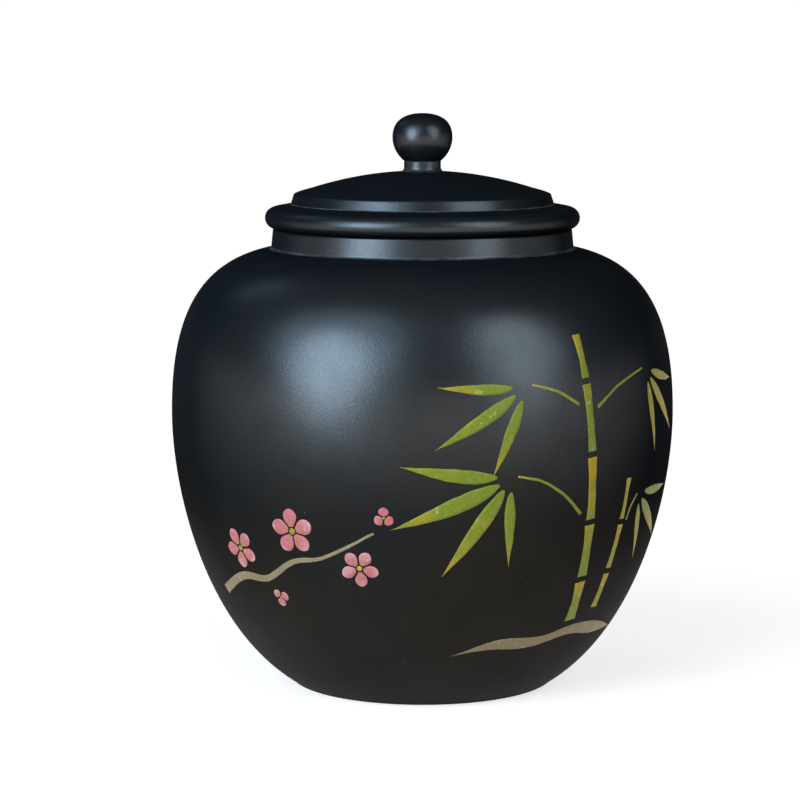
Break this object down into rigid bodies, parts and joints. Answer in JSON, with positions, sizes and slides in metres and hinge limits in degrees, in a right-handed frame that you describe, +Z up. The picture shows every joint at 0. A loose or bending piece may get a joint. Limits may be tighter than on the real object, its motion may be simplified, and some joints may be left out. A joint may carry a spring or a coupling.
{
  "type": "tea canister",
  "caption": "Round-bellied ceramic tea canister with a short neck, an inlaid picture, and a lift-off lid with a stepped dome and a ball knob.",
  "frame": {"origin": "middle of the foot ring's resting plane", "axes": "+Z up along the axis of the jar and lid, -Y towards the viewer of the inlaid picture, +X to that viewer's right"},
  "size_m": [0.17, 0.17, 0.1927],
  "materials": {
    "black_clay": "burnished satin",
    "green_clay": "burnished satin",
    "gold_clay": "burnished satin",
    "pink_clay": "burnished satin",
    "tan_clay": "burnished satin",
    "seal_silicone": "matte"
  },
  "bodies": {
    "jar": {"jar_body": "black_clay", "blossom_left": "pink_clay", "blossom_top": "pink_clay", "blossom_right": "pink_clay", "bud_tip": "pink_clay", "bud_low": "pink_clay", "leaf_centre_1": "green_clay", "leaf_centre_2": "green_clay", "leaf_centre_3": "green_clay", "leaf_centre_4": "green_clay", "leaf_upper_1": "green_clay", "leaf_upper_2": "green_clay", "leaf_upper_3": "green_clay", "leaf_right_1": "gold_clay", "leaf_right_2": "gold_clay", "leaf_right_3": "gold_clay", "leaf_low_1": "green_clay", "leaf_low_2": "green_clay", "leaf_low_3": "green_clay", "culm_tall_1": "green_clay", "culm_tall_2": "green_clay", "culm_tall_3": "green_clay", "culm_tall_4": "green_clay", "culm_tall_5": "green_clay", "culm_short_1": "gold_clay", "culm_short_2": "gold_clay", "culm_short_3": "gold_clay", "branchlet_centre": "green_clay", "branchlet_upper": "green_clay", "branchlet_right": "green_clay", "branchlet_low": "green_clay", "plum_twig": "tan_clay", "ground_line": "tan_clay"},
    "seal": {"seal_ring": "seal_silicone"},
    "lid": {"lid": "black_clay", "lid_knob": "black_clay"}
  },
  "joints": [
    {"name": "lid_lift", "type": "slide", "parent": "jar", "child": "seal", "axis": [0, 0, 1], "range_m": [0, 0.1]},
    {"name": "lid_turn", "type": "hinge", "parent": "seal", "child": "lid", "pos_m": [0, 0, 0.1542], "axis": [0, 0, 1], "continuous": true}
  ]
}
